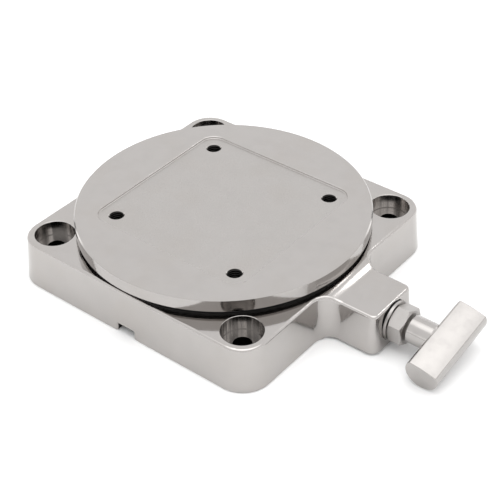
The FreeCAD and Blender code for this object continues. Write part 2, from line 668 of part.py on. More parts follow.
def make_clamp_screw():
    """Clamp screw with a turned tip for the shoe and a spigot for the handle."""
    body = new_body("clamp_screw")
    tip, neck, thread = "(tip_diameter / 2)", "(tip_neck / 2)", "(screw_thread / 2)"
    neck_low = f"({CLIP_FRONT} - 2 * running_fit)"
    neck_high = f"({CLIP_FRONT} + clip_width + 2 * running_fit)"
    spigot_end = f"({HANDLE_START} + spigot_length)"
    turned(body, "screw_profile", [
        (TIP_FACE, "0"), (TIP_FACE, tip), (neck_low, tip), (neck_low, neck), (neck_high, neck),
        (neck_high, tip), (THREAD_START, tip), (f"{THREAD_START} + cut_margin", thread),
        (HANDLE_START, thread), (HANDLE_START, "spigot_diameter / 2"),
        (spigot_end, "spigot_diameter / 2"), (spigot_end, "0")], along_clamp=True)
    # The ball sits in the tip and stands out by the tip's gap to the cup floor.
    ball_bore = "(ball_diameter / 2 + running_fit)"
    ball_back = f"({CUP_FLOOR} + ball_diameter + 2 * running_fit)"
    turned(body, "ball_seat", [
        (f"{TIP_FACE} - cut_margin", "0"), (ball_back, "0"), (ball_back, ball_bore),
        (f"{TIP_FACE} - cut_margin", ball_bore)], along_clamp=True, cut=True)
    return body


def make_thrust_ball():
    """Steel ball that pushes the shoe."""
    ball = doc.addObject("Part::Sphere", "thrust_ball")
    ball.Label = "thrust_ball"
    ball.setExpression("Radius", sized("ball_diameter / 2"))
    ball.setExpression("Placement.Base.x",
                       sized(f"{CUP_FLOOR} + ball_diameter / 2 + running_fit"))
    ball.setExpression("Placement.Base.z", sized("clamp_height"))
    return ball


def turn_with_handle(body):
    """Turn a body about the clamp screw's axis to where the handle stopped."""
    body.Placement = FreeCAD.Placement(
        FreeCAD.Vector(), FreeCAD.Rotation(FreeCAD.Vector(1, 0, 0), value("handle_turn")))
    body.setExpression("Placement.Rotation.Angle", sized("handle_turn * 1 deg"))
    body.setExpression("Placement.Base.y", sized("clamp_height * sin(handle_turn * 1 deg)"))
    body.setExpression("Placement.Base.z",
                       sized("clamp_height * (1 - cos(handle_turn * 1 deg))"))


def make_t_handle():
    """Handle whose round crossbar has a flatter upper face, leaning outward, and a round shank."""
    body = new_body("t_handle")
    radius, lean = "(bar_diameter / 2)", "(bar_flat_tilt * 1 deg)"
    chord = f"sqrt({radius} * {radius} - bar_flat_height * bar_flat_height)"
    flat_x, flat_z = f"bar_flat_height * sin({lean})", f"bar_flat_height * cos({lean})"
    section = new_sketch(body, "XZ_Plane", "bar_section", right=BAR_CENTRE, up="clamp_height")
    outline(section,
            [(f"{flat_x} - {chord} * cos({lean})", f"{flat_z} + {chord} * sin({lean})"),
             (f"-{radius} * sin({lean})", f"-{radius} * cos({lean})"),
             (f"{flat_x} + {chord} * cos({lean})", f"{flat_z} - {chord} * sin({lean})")],
            {0: (radius, -1), 1: (radius, -1), 2: ("bar_crown_radius", -1)})
    pad(body, section, "bar_length", both_ways=True)
    half_length = value("bar_length / 2")
    bar_top = value(f"clamp_height + {flat_z} - {chord} * sin({lean})") - 1e-4
    round_edges(body, "bar_edges", "bar_edge_radius",
                lambda e, m: near(m.y, 0) and m.z > bar_top)
    round_edges(body, "bar_ends", "bar_end_radius",
                lambda e, m: near(abs(m.y), half_length))

    turned(body, "handle_shank", [
        (HANDLE_START, "0"), (BAR_CENTRE, "0"), (BAR_CENTRE, "bar_flat_height - shank_sink"),
        (f"{BAR_CENTRE} - {radius} / 2", "bar_flat_height - shank_sink"),
        (f"{BAR_CENTRE} - {chord} * cos({lean}) + shank_sink", "shank_diameter / 2"),
        (HANDLE_START, "shank_diameter / 2")], along_clamp=True)
    bore = "(spigot_diameter / 2 + running_fit / 2)"
    deep = f"({HANDLE_START} + spigot_length + running_fit)"
    turned(body, "handle_bore", [
        (f"{HANDLE_START} - cut_margin", "0"), (deep, "0"), (deep, bore),
        (f"{HANDLE_START} - cut_margin", bore)], along_clamp=True, cut=True)
    lock = new_sketch(body, "XY_Plane", "lock_hole", out="clamp_height")
    circle(lock, f"{HANDLE_START} + lock_screw_setback", "0", "lock_screw_thread")
    pocket(body, lock, "shank_diameter")
    turn_with_handle(body)
    return body


def make_handle_lock_screw():
    """Grub screw from below that locks the handle on the screw's spigot."""
    body = new_body("handle_lock_screw")
    place = f"{HANDLE_START} + lock_screw_setback"
    top = "(clamp_height - spigot_diameter / 2)"
    low = "(clamp_height - shank_diameter / 2 + lock_screw_sunk)"
    plan = new_sketch(body, "XY_Plane", "lock_plan", out=low)
    circle(plan, place, "0", "lock_screw_thread")
    pad(body, plan, f"{top} - {low}")
    socket = new_sketch(body, "XY_Plane", "lock_socket", right=place, out=low)
    outline(socket, [(f"lock_screw_socket / (2 * cos(30 deg)) * cos({60 * step} deg)",
                      f"lock_screw_socket / (2 * cos(30 deg)) * sin({60 * step} deg)")
                     for step in range(6)])
    pocket(body, socket, "lock_screw_socket / 2", upward=True)
    turn_with_handle(body)
    return body


# ---------------------------------------------------------------- build and write

pieces = [
    make_base_casting(), make_spindle_bush(), make_upper_thrust_washer(),
    make_lower_thrust_washer(), make_guide_bush(), make_guide_bush_washer(),
    make_turntable_plate(), make_dust_seal(), make_keeper_plate(),
    *[make_keeper_screw(step) for step in range(6)],
    make_clamp_shoe(), make_shoe_clip(), make_clamp_screw(), make_thrust_ball(),
    make_t_handle(), make_handle_lock_screw(),
]
doc.recompute()

for item in doc.Objects:
    if {"Invalid", "Error"} & set(item.State):
        raise RuntimeError(f"{item.Name} failed: {item.State}")
for piece in pieces:
    if piece.Shape.isNull() or not piece.Shape.isValid():
        raise RuntimeError(f"{piece.Label} has no valid shape")

os.makedirs("parts", exist_ok=True)
for piece in pieces:
    piece.Shape.exportStep(f"parts/{piece.Label}.step")
    box = piece.Shape.BoundBox
    print(f"{piece.Label:22} {piece.Shape.Volume / 1000:9.3f} cm3 "
          f"x {box.XMin:7.2f} {box.XMax:7.2f}  y {box.YMin:7.2f} {box.YMax:7.2f}  "
          f"z {box.ZMin:6.2f} {box.ZMax:6.2f}")
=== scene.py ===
"""Looks of a swivelling vice base: nickel plate, bronze, rubber and oil-blacked steel."""

import json
import math
from itertools import product

import bmesh
import bpy
from mathutils import Matrix, Vector


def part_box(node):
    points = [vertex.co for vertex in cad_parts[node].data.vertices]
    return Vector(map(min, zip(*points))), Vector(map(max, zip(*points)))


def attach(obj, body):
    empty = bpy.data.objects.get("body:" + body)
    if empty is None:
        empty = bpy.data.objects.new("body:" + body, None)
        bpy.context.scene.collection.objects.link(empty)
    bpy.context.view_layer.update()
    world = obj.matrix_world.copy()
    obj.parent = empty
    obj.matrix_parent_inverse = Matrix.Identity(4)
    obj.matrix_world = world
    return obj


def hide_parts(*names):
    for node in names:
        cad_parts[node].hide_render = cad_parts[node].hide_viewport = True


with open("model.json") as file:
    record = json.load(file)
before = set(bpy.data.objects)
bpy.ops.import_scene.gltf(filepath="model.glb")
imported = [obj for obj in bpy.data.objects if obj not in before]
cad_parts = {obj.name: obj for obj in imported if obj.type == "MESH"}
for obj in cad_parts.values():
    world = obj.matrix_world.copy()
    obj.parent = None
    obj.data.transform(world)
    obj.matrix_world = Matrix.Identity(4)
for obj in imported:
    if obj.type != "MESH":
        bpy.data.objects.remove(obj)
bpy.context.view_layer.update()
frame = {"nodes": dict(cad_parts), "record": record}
NODES = frame["nodes"]
MOUNTS = {mount["name"]: mount for mount in frame["record"]["mounts"]}

bl_info = {
    "name": "Vice base looks",
    "version": (1, 0, 0),
    "blender": (4, 5, 0),
    "location": "View3D > Sidebar > Vice base",
    "description": "Finishes and stages a swivelling base for a bench vice",
    "category": "Object",
}

MM = 0.001
MICRON = 1e-6


# ---------------------------------------------------------------- places from the frame

def low(node):
    """Lowest corner of a CAD node."""
    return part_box(node)[0]


def high(node):
    """Highest corner of a CAD node."""
    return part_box(node)[1]


def middle(node):
    """Centre of a CAD node's box."""
    return (low(node) + high(node)) / 2


PLATE_BOTTOM = high("upper_thrust_washer").z
SEAT_FLOOR = MOUNTS["vice_seat"]["pos_m"][2]
BASE_TOP = high("base_casting").z
BOLT_REACH = MOUNTS["base_bolts"]["dims"]["spacing_x_mm"] / 2 * MM
BOLT_HOLE = MOUNTS["base_bolts"]["dims"]["hole_r_mm"] * MM
THREAD_REACH = MOUNTS["seat_threads"]["dims"]["spacing_x_mm"] / 2 * MM
THREAD_CORE = MOUNTS["seat_threads"]["dims"]["hole_r_mm"] * MM
CLAMP_HEIGHT = middle("clamp_screw").z
WASHER_BACK = low("guide_bush_washer").x

# painted shade: near-black colours painted into holes and gaps, where there is only shade
PAINTED_HOLE_SHADE = (0.02, 0.019, 0.018)
PAINTED_TAPPED_SHADE = (0.04, 0.038, 0.036)
PAINTED_GAP_SHADOW = (0.012, 0.012, 0.012)

# width of the painted shadow on the washer's back edge, measured from the boss
GAP_SHADOW_WIDTH = 1 * MM

# the tapped holes of the seat: how far the thread stays from both faces of the plate,
# how far its root is sunk in the hole's wall, and the half width of its root in pitches
# and of its crest in half widths of the root
SEAT_CHAMFER = 0.9 * MM
PLATE_RUNOUT = 0.5 * MM
ROOT_SINK = 0.05 * MM
ROOT_SHARE = 0.43
CREST_SHARE = 0.12
STEPS_PER_TURN = 40
RUNOUT_STEPS = 12

# the clamp screw: radii below ON_AXIS count as its axis, the groove's half width is in
# pitches, and the thread fades over RUNOUT at both ends
ON_AXIS = 0.05 * MM
TOLERANCE = 0.01 * MM
GROOVE_SHARE = 0.44
RUNOUT = 1 * MM
RINGS_PER_TURN = 10
SIDES = 56

# the strip lamp, which draws a streak on the curve between the boss and the base
BOSS_CURVE = Vector((high("spindle_bush").x + 30 * MM, -3.5 * MM, BASE_TOP - 1.05 * MM))
STRIP_DIRECTION = Vector((0.179, 0.642, 0.745))
STRIP_DISTANCE = 1.2
STRIP_SIZE = (0.42, 0.03)


# ---------------------------------------------------------------- what a user may change

class PlateFinish(bpy.types.PropertyGroup):
    """Nickel plate on the castings and on the turned steel."""

    bright_tint: bpy.props.FloatVectorProperty(
        name="Bright nickel", description="Colour of the polished plate",
        default=(0.447, 0.428, 0.4145), subtype="COLOR", min=0, max=1)
    satin_tint: bpy.props.FloatVectorProperty(
        name="Satin nickel", description="Colour of the brushed plate",
        default=(0.43, 0.412, 0.399), subtype="COLOR", min=0, max=1)
    bright_roughness: bpy.props.FloatProperty(
        name="Bright roughness", description="Blur of the polished plate",
        default=0.085, subtype="FACTOR", min=0, max=1)
    satin_roughness: bpy.props.FloatProperty(
        name="Satin roughness", description="Blur of the brushed plate",
        default=0.15, subtype="FACTOR", min=0, max=1)
    wave_height: bpy.props.FloatProperty(
        name="Casting wave", description="Depth of the long waves left by hand polishing",
        default=9 * MICRON, unit="LENGTH", min=0, max=0.001, precision=6)
    wave_length: bpy.props.FloatProperty(
        name="Wave length", description="Distance between those waves",
        default=17 * MM, unit="LENGTH", min=0.001, max=0.1)
    seat_half_side: bpy.props.FloatProperty(
        name="Seat half side", description="Half the side of the satin square seat",
        default=46.3 * MM, unit="LENGTH", min=0.01, max=0.1)
    bolt_bore_radius: bpy.props.FloatProperty(
        name="Bolt bore", description="Radius within which the bench bolt bores show tool marks",
        default=10.15 * MM, unit="LENGTH", min=0.001, max=0.05)
    bolt_bore_depth: bpy.props.FloatProperty(
        name="Bolt bore depth", description="Depth of the bench bolt bores",
        default=8 * MM, unit="LENGTH", min=0.001, max=0.02)
    key_slot_size: bpy.props.FloatProperty(
        name="Key slot", description="Half the width of the key slot, and its height",
        default=5 * MM, unit="LENGTH", min=0.001, max=0.02)


class BearingTints(bpy.types.PropertyGroup):
    """Colours of the hidden bearings and of the seal."""

    bronze: bpy.props.FloatVectorProperty(
        name="Bronze", description="Colour of the bush and the thrust washers",
        default=(0.62, 0.42, 0.22), subtype="COLOR", min=0, max=1)
    brass: bpy.props.FloatVectorProperty(
        name="Brass", description="Colour of the clamp shoe",
        default=(0.74, 0.58, 0.3), subtype="COLOR", min=0, max=1)
    rubber: bpy.props.FloatVectorProperty(
        name="Rubber", description="Colour of the clean seal",
        default=(0.012, 0.012, 0.012), subtype="COLOR", min=0, max=1)
    bloom: bpy.props.FloatVectorProperty(
        name="Bloom", description="Colour of the seal where it is dusty",
        default=(0.03, 0.03, 0.031), subtype="COLOR", min=0, max=1)


class ThreadSizes(bpy.types.PropertyGroup):
    """Screw threads that the mesh pieces show."""

    seat_pitch: bpy.props.FloatProperty(
        name="Seat thread pitch", description="Pitch of the four M8 threads in the seat",
        default=1.25 * MM, unit="LENGTH", min=0.0002, max=0.01)
    seat_depth: bpy.props.FloatProperty(
        name="Seat thread depth", description="How far the thread crests stand into the hole",
        default=0.32 * MM, unit="LENGTH", min=0.00001, max=0.002)
    clamp_pitch: bpy.props.FloatProperty(
        name="Clamp thread pitch", description="Pitch of the clamp screw",
        default=1.5 * MM, unit="LENGTH", min=0.0002, max=0.01)
    clamp_depth: bpy.props.FloatProperty(
        name="Clamp thread depth", description="Depth of the clamp screw's thread",
        default=0.85 * MM, unit="LENGTH", min=0.00001, max=0.002)


class StageSizes(bpy.types.PropertyGroup):
    """Floor, light and camera."""

    bearing: bpy.props.FloatProperty(
        name="Camera bearing", description="Turn of the camera round the object",
        default=math.radians(39.24), unit="ROTATION")
    rise: bpy.props.FloatProperty(
        name="Camera rise", description="Angle of the camera above the floor",
        default=math.radians(37.88), unit="ROTATION")
    roll: bpy.props.FloatProperty(
        name="Camera roll", description="Turn of the camera about its own axis",
        default=math.radians(-1.18), unit="ROTATION")
    distance: bpy.props.FloatProperty(
        name="Camera distance", description="Camera to the point it looks at",
        default=0.6434, unit="LENGTH", min=0.1, max=10)
    aim: bpy.props.FloatVectorProperty(
        name="Camera aim", description="Shift of that point right, up and above the bench",
        default=(0.0127, -0.01166, 0.01946), unit="LENGTH", precision=5)
    lens: bpy.props.FloatProperty(
        name="Lens", description="Focal length on a 36 mm sensor, in millimetres",
        default=92.15, unit="CAMERA", min=10, max=400)
    hem_glow: bpy.props.FloatProperty(
        name="Hem glow", description="Brightness of the dark band level with the floor",
        default=0.2, min=0, max=10)
    rim_glow: bpy.props.FloatProperty(
        name="Rim glow", description="Brightness of the narrow band just above it",
        default=2.0, min=0, max=10)
    wall_glow: bpy.props.FloatProperty(
        name="Lower wall glow", description="Brightness of the foot of the studio walls",
        default=1.15, min=0, max=10)
    horizon_glow: bpy.props.FloatProperty(
        name="Upper wall glow", description="Brightness of the studio walls above that",
        default=1.2, min=0, max=10)
    ceiling_glow: bpy.props.FloatProperty(
        name="Ceiling glow", description="Brightness of the studio ceiling",
        default=2.3, min=0, max=10)
    ceiling_light: bpy.props.FloatProperty(
        name="Ceiling light", description="Strength of the wide overhead light",
        default=0.3, min=0, max=20)
    strip_power: bpy.props.FloatProperty(
        name="Strip lamp", description="Power of the strip lamp",
        default=0.35, unit="POWER", min=0, max=100)
    floor_tone: bpy.props.FloatProperty(
        name="Floor tone", description="Lightness of the floor",
        default=0.92, subtype="FACTOR", min=0, max=1)


SETTINGS = {"vice_base_plate": PlateFinish, "vice_base_bearing": BearingTints,
            "vice_base_thread": ThreadSizes, "vice_base_stage": StageSizes}


# ---------------------------------------------------------------- shader maths

class Wire:
    """An output socket. One that carries a number can be used in Python expressions."""

    def __init__(self, wiring, socket):
        self.wiring = wiring
        self.socket = socket

    def maths(self, operation, *others):
        """Add a Math node whose first value is this socket."""
        values = dict(enumerate((self, *others)))
        return self.wiring.node("ShaderNodeMath", {"operation": operation}, values)

    def __add__(self, other):
        return self.maths("ADD", other)

    __radd__ = __add__

    def __mul__(self, other):
        return self.maths("MULTIPLY", other)

    __rmul__ = __mul__

    def __sub__(self, other):
        return self.maths("SUBTRACT", other)

    def __rsub__(self, other):
        return self.wiring.node("ShaderNodeMath", {"operation": "SUBTRACT"}, {0: other, 1: self})

    def __truediv__(self, other):
        return self.maths("DIVIDE", other)

    def __pow__(self, other):
        return self.maths("POWER", other)

    def __abs__(self):
        return self.maths("ABSOLUTE")

    def root(self):
        return self.maths("SQRT")

    def at_least(self, other):
        return self.maths("MAXIMUM", other)

    def ramp(self, start, end):
        """0 before start, 1 after end, smooth between them."""
        return self.wiring.node(
            "ShaderNodeMapRange", {"interpolation_type": "SMOOTHSTEP"},
            {"Value": self, "From Min": start, "From Max": end})


class Wiring:
    """A node tree under construction."""

    def __init__(self, tree):
        self.tree = tree
        tree.nodes.clear()

    def node(self, kind, settings=None, sockets=None, output=0):
        """Add a node: its settings first, then values or links for its sockets."""
        made = self.tree.nodes.new(kind)
        for name, setting in (settings or {}).items():
            if name == "stops":
                self.set_stops(made.color_ramp, setting)
            else:
                setattr(made, name, setting)
        for name, given in (sockets or {}).items():
            socket = made.inputs[name]
            if isinstance(given, Wire):
                self.tree.links.new(given.socket, socket)
            else:
                socket.default_value = (*given, 1) if socket.type == "RGBA" else given
        return Wire(self, made.outputs[output]) if made.outputs else None

    def set_stops(self, ramp, stops):
        """Give a colour ramp its grey stops, each a position and a brightness."""
        while len(ramp.elements) < len(stops):
            ramp.elements.new(0.5)
        for element, (position, bright) in zip(ramp.elements, stops):
            element.position = position
            element.color = (bright, bright, bright, 1)


class Finish(Wiring):
    """A material under construction."""

    def __init__(self, name):
        self.material = bpy.data.materials.new(name)
        self.material.use_nodes = True
        super().__init__(self.material.node_tree)
        self.place = self.node("ShaderNodeTexCoord", output="Object")

    def axes(self):
        """X, Y and Z of a point of the piece, in metres."""
        return [self.node("ShaderNodeSeparateXYZ", {}, {"Vector": self.place}, output)
                for output in range(3)]

    def noise(self, size, detail=2.0, stretch=(1, 1, 1)):
        """Noise from 0 to 1 whose grains are about size metres across."""
        scaled = self.node("ShaderNodeVectorMath", {"operation": "MULTIPLY"},
                           {0: self.place, 1: stretch})
        return self.node("ShaderNodeTexNoise", {}, {
            "Vector": scaled, "Scale": 1 / size, "Detail": detail, "Roughness": 0.55})

    def line_noise(self, along, size, detail=2.0):
        """Noise that only changes along one number, as tool marks do."""
        return self.node("ShaderNodeTexNoise", {"noise_dimensions": "1D"}, {
            "W": along / size, "Scale": 1.0, "Detail": detail, "Roughness": 0.6})

    def scratches(self, size, length, turn):
        """Thin straight marks, 1 on a mark and 0 elsewhere, lying at turn about Z."""
        turned = self.node("ShaderNodeVectorRotate", {"rotation_type": "EULER_XYZ"},
                           {"Vector": self.place, "Rotation": (0.35, 0.2, turn)})
        stretched = self.node("ShaderNodeVectorMath", {"operation": "MULTIPLY"},
                              {0: turned, 1: (1 / length, 1 / size, 1 / size)})
        marks = self.node("ShaderNodeTexVoronoi", {"feature": "F1"}, {
            "Vector": stretched, "Scale": 1.0, "Randomness": 1.0})
        return 1 - marks.ramp(0.02, 0.09)

    def blend(self, mask, first, second):
        """Colour that is first where mask is 0 and second where it is 1."""
        return self.node("ShaderNodeMix", {"data_type": "RGBA"},
                         {"Factor": mask, 6: first, 7: second}, 2)

    def surface(self, colour, roughness, height=None, metallic=0.0):
        """Close the material with its shader. The height is in metres."""
        sockets = {"Base Color": colour, "Roughness": roughness, "Metallic": metallic}
        if height is not None:
            sockets["Normal"] = self.node("ShaderNodeBump", {}, {
                "Height": height, "Distance": 1.0, "Strength": 1.0})
        shader = self.node("ShaderNodeBsdfPrincipled", {}, sockets)
        self.node("ShaderNodeOutputMaterial", {}, {"Surface": shader})

    def metal(self, colour, roughness, height):
        """Close the material as bare metal."""
        self.surface(colour, roughness, height, 1.0)

    def cover(self, *names):
        """Give the finish to CAD nodes."""
        for name in names:
            mesh = NODES[name].data
            mesh.materials.clear()
            mesh.materials.append(self.material)


def shade(colour, factor):
    """A darker or lighter tint of a colour."""
    return tuple(min(1.0, part * factor) for part in colour)


def toned(colour, tones):
    """A colour with each of its parts multiplied by its own tone."""
    return tuple(part * tone for part, tone in zip(colour, tones))


def hand_polish(finish, plate):
    """Roughness and height of a polished casting, before any machined spots."""
    smudges = finish.noise(22 * MM, 3.0).ramp(0.42, 0.72)
    haze = finish.noise(3.5 * MM, 3.0)
    fine = finish.scratches(0.5 * MM, 14 * MM, 0.6) * 0.55
    crossing = finish.scratches(0.7 * MM, 9 * MM, -0.9) * 0.4
    marks = fine + crossing
    roughness = plate.bright_roughness + 0.04 * smudges + 0.035 * haze + 0.2 * marks
    wave = finish.noise(plate.wave_length, 1.0) * plate.wave_height
    peel = finish.noise(1.6 * MM, 2.0) * (0.55 * MICRON)
    height = wave + peel - marks * (1.6 * MICRON)
    return roughness, height, smudges


def plate_colour(finish, tint, smudges):
    """Nickel with its slightly browner, duller areas."""
    cloud = finish.noise(9 * MM, 4.0).ramp(0.35, 0.75)
    warm = finish.blend(cloud, tint, shade(tint, 0.965))
    return finish.blend(smudges * 0.5, warm, toned(tint, (0.95, 0.935, 0.915)))


def polished_casting(plate):
    """Polished nickel whose bolt bores and foot show their tool marks."""
    finish = Finish("polished_nickel_casting")
    tint = tuple(plate.bright_tint)
    x, y, z = finish.axes()
    roughness, height, smudges = hand_polish(finish, plate)
    from_bolt = ((abs(x) - BOLT_REACH) ** 2 + (abs(y) - BOLT_REACH) ** 2).root()
    bore = 1 - from_bolt.ramp(plate.bolt_bore_radius - 0.1 * MM, plate.bolt_bore_radius)
    bore = bore * (1 - z.ramp(BASE_TOP - 0.3 * MM, BASE_TOP - 0.1 * MM))
    foot = 1 - z.ramp(0.05 * MM, 0.2 * MM)
    tool = finish.line_noise(z + from_bolt, 0.16 * MM)
    chatter = finish.noise(1.8 * MM, 3.0)
    ground = finish.noise(0.35 * MM, 3.0, (1, 0.03, 1))
    # painted shade: the bolt holes and the key slot are painted near black and made rougher
    slot_edge = (plate.key_slot_size, plate.key_slot_size + 0.3 * MM)
    slot = (1 - abs(x).ramp(*slot_edge)) * (1 - z.ramp(*slot_edge))
    hole = (1 - from_bolt.ramp(BOLT_HOLE + 0.05 * MM, BOLT_HOLE + 0.25 * MM)) + slot
    bore_floor = BASE_TOP - plate.bolt_bore_depth
    wall = bore * z.ramp(bore_floor + 0.2 * MM, bore_floor + 0.5 * MM)
    # painted reflection: bright streaks painted on the bolt bore walls; the painted shadow on the
    # upper walls is lighter along them
    highlight_streaks = finish.noise(3.4 * MM, 3.0, (1, 1, 0.05)).ramp(0.4, 0.62)
    shadow = wall * (0.85 - highlight_streaks * 0.8) * (0.2 + 0.8 * z.ramp(bore_floor, BASE_TOP))
    # the floors of the bolt bores are darker, except in a ring round each through hole
    past_hole = from_bolt.ramp(BOLT_HOLE + 0.2 * MM, BOLT_HOLE + 0.35 * MM)
    edge_ring = past_hole * (1 - from_bolt.ramp(BOLT_HOLE + 0.7 * MM, BOLT_HOLE + 0.9 * MM))
    darker_bore_floor = bore * (1 - wall) * (1 - edge_ring) * (0.55 + 0.45 * chatter)
    machined = bore * (0.02 + 0.08 * tool + 0.06 * chatter) + foot * (0.12 + 0.1 * ground)
    turning = bore * (0.25 + chatter * 0.6) * (0.5 + 0.5 * tool)
    colour = plate_colour(finish, tint, smudges)
    for mask, tone in ((turning, shade(tint, 0.6)), (shadow, shade(tint, 0.12)),
                       (darker_bore_floor * 0.3, shade(tint, 0.4)), (hole, PAINTED_HOLE_SHADE),
                       (wall * highlight_streaks * 0.8, shade(tint, 1.9))):
        colour = finish.blend(mask, colour, tone)
    cut = bore * (tool * 0.8 + chatter * 0.4) + foot * ground
    finish.metal(colour, roughness + machined + 0.25 * hole, height + cut * (2.0 * MICRON))
    return finish


def polished_turning(plate):
    """Polished nickel plate with faint turned rings, and a satin milled seat."""
    finish = Finish("polished_nickel_turning")
    tint = tuple(plate.bright_tint)
    x, y, z = finish.axes()
    roughness, height, smudges = hand_polish(finish, plate)
    radius = (x ** 2 + y ** 2).root()
    rings = finish.line_noise(radius + z, 0.22 * MM)
    broad = finish.line_noise(radius, 3.1 * MM, 1.0)
    from_axis = abs(x).at_least(abs(y))
    inside = 1 - from_axis.ramp(plate.seat_half_side - 0.15 * MM, plate.seat_half_side)
    seat = inside * (1 - z.ramp(SEAT_FLOOR + 0.2 * MM, SEAT_FLOOR + 0.4 * MM))
    seat = seat * z.ramp(SEAT_FLOOR - 0.3 * MM, SEAT_FLOOR - 0.1 * MM)
    speckle = finish.noise(0.42 * MM, 4.0)
    mottle = finish.noise(4.5 * MM, 4.0)
    satin = 0.17 + 0.2 * speckle + 0.06 * mottle
    polish = roughness + 0.02 * rings + 0.015 * broad
    rough = polish + seat * (satin - polish)
    grain = height + rings * (0.28 * MICRON) + seat * speckle * (9 * MICRON)
    # painted shade: the mouths of the tapped holes are painted near black
    from_hole = ((abs(x) - THREAD_REACH) ** 2 + (abs(y) - THREAD_REACH) ** 2).root()
    hole = 1 - from_hole.ramp(THREAD_CORE + 0.1 * MM, THREAD_CORE + 0.3 * MM)
    spots = seat * speckle.ramp(0.42, 0.7) * (0.4 + 0.6 * mottle)
    colour = finish.blend(spots, plate_colour(finish, tint, smudges), shade(tint, 0.8))
    colour = finish.blend(hole, colour, PAINTED_TAPPED_SHADE)
    finish.metal(colour, rough, grain)
    return finish


def around_clamp(y, z):
    """Distance from the clamp screw's axis."""
    return (y ** 2 + (z - CLAMP_HEIGHT) ** 2).root()


def brushed_nickel(finish, plate, duller):
    """Colour, roughness and height of nickel turned about the clamp screw's axis."""
    tint = tuple(plate.satin_tint)
    x, y, z = finish.axes()
    brushed = finish.line_noise(x + around_clamp(y, z) * 0.6, 0.12 * MM, 3.0)
    cloud = finish.noise(5 * MM, 4.0)
    marks = finish.scratches(0.45 * MM, 7 * MM, 1.1)
    colour = finish.blend(cloud.ramp(0.4, 0.8), tint, shade(tint, 0.93))
    roughness = plate.satin_roughness + duller + 0.07 * brushed + 0.06 * cloud + 0.06 * marks
    height = brushed * (0.7 * MICRON) + cloud * (2 * MICRON) - marks * (0.8 * MICRON)
    return colour, roughness, height


def brushed_fitting(name, plate, duller=0.0):
    """Satin nickel turned about the clamp screw's axis."""
    finish = Finish(name)
    finish.metal(*brushed_nickel(finish, plate, duller))
    return finish


def washer_with_gap_shadow(plate):
    """Nickel washer with a band of painted shadow at its back, against the boss."""
    finish = Finish("washer_nickel")
    colour, roughness, height = brushed_nickel(finish, plate, duller=0.08)
    x = finish.axes()[0]
    # painted shadow: the back edge of the washer, where it meets the boss, is painted near black as
    # the shade of the gap
    edge = WASHER_BACK + GAP_SHADOW_WIDTH
    edge_ring = 1 - x.ramp(edge - 0.05 * MM, edge + 0.05 * MM)
    finish.metal(finish.blend(edge_ring, colour, PAINTED_GAP_SHADOW), roughness + edge_ring * 0.3, height)
    return finish


def turned_metal(name, tint, roughness, around, pitch=0.2 * MM, stain=(0.8, 0.72, 0.6)):
    """Bare turned metal with rings around X or Z, and darker oil stains."""
    finish = Finish(name)
    x, y, z = finish.axes()
    if around == "X":
        along, radius = x, around_clamp(y, z)
    else:
        along, radius = z, (x ** 2 + y ** 2).root()
    rings = finish.line_noise(along + radius, pitch, 3.0)
    stains = finish.noise(6 * MM, 5.0).ramp(0.45, 0.75)
    colour = finish.blend(stains * 0.7, tint, toned(tint, stain))
    finish.metal(colour, roughness + 0.12 * rings + 0.1 * stains, rings * (2.5 * MICRON))
    return finish


def bright_steel(plate, factor):
    """Colour of bare steel, made from that of the satin plate."""
    return shade(tuple(plate.satin_tint), factor)


def blacked_steel(plate):
    """Oil-blacked steel, with bright metal starting to show on raised grain."""
    finish = Finish("black_oxide")
    grain = finish.noise(0.5 * MM, 5.0)
    rubbed = finish.noise(3 * MM, 5.0).ramp(0.62, 0.8)
    colour = finish.blend(rubbed * grain, (0.03, 0.029, 0.028), bright_steel(plate, 0.3))
    finish.metal(colour, 0.34 + 0.2 * grain, grain * (4 * MICRON))
    return finish


def moulded_rubber(tints):
    """Matt black rubber with a dusty bloom."""
    finish = Finish("black_rubber")
    bloom = finish.noise(4 * MM, 5.0).ramp(0.4, 0.8)
    pores = finish.noise(0.3 * MM, 3.0)
    colour = finish.blend(bloom, tuple(tints.rubber), tuple(tints.bloom))
    finish.surface(colour, 0.55 + 0.25 * pores, pores * (9 * MICRON))
    return finish


def ground_steel(plate):
    """Bright steel ground along one direction."""
    finish = Finish("ground_steel")
    tint = bright_steel(plate, 0.9)
    lines = finish.noise(0.3 * MM, 4.0, (1, 0.04, 1))
    oil = finish.noise(9 * MM, 4.0).ramp(0.5, 0.75)
    colour = finish.blend(oil * 0.6, tint, shade(tint, 0.7))
    finish.metal(colour, 0.2 + 0.2 * lines + 0.08 * oil, lines * (1.6 * MICRON))
    return finish


# ---------------------------------------------------------------- mesh helpers

def mesh_piece(name, points, faces, material, body):
    """A smooth mesh object with outward faces that rides on a body."""
    mesh = bpy.data.meshes.new(name)
    mesh.from_pydata([tuple(point) for point in points], [], faces)
    work = bmesh.new()
    work.from_mesh(mesh)
    bmesh.ops.remove_doubles(work, verts=work.verts, dist=1e-7)
    bmesh.ops.recalc_face_normals(work, faces=work.faces)
    if any(not edge.is_manifold for edge in work.edges):
        raise RuntimeError(f"{name} has an open edge")
    work.to_mesh(mesh)
    work.free()
    mesh.materials.append(material)
    mesh.shade_smooth()
    made = bpy.data.objects.new(name, mesh)
    bpy.context.scene.collection.objects.link(made)
    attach(made, body)
    return made


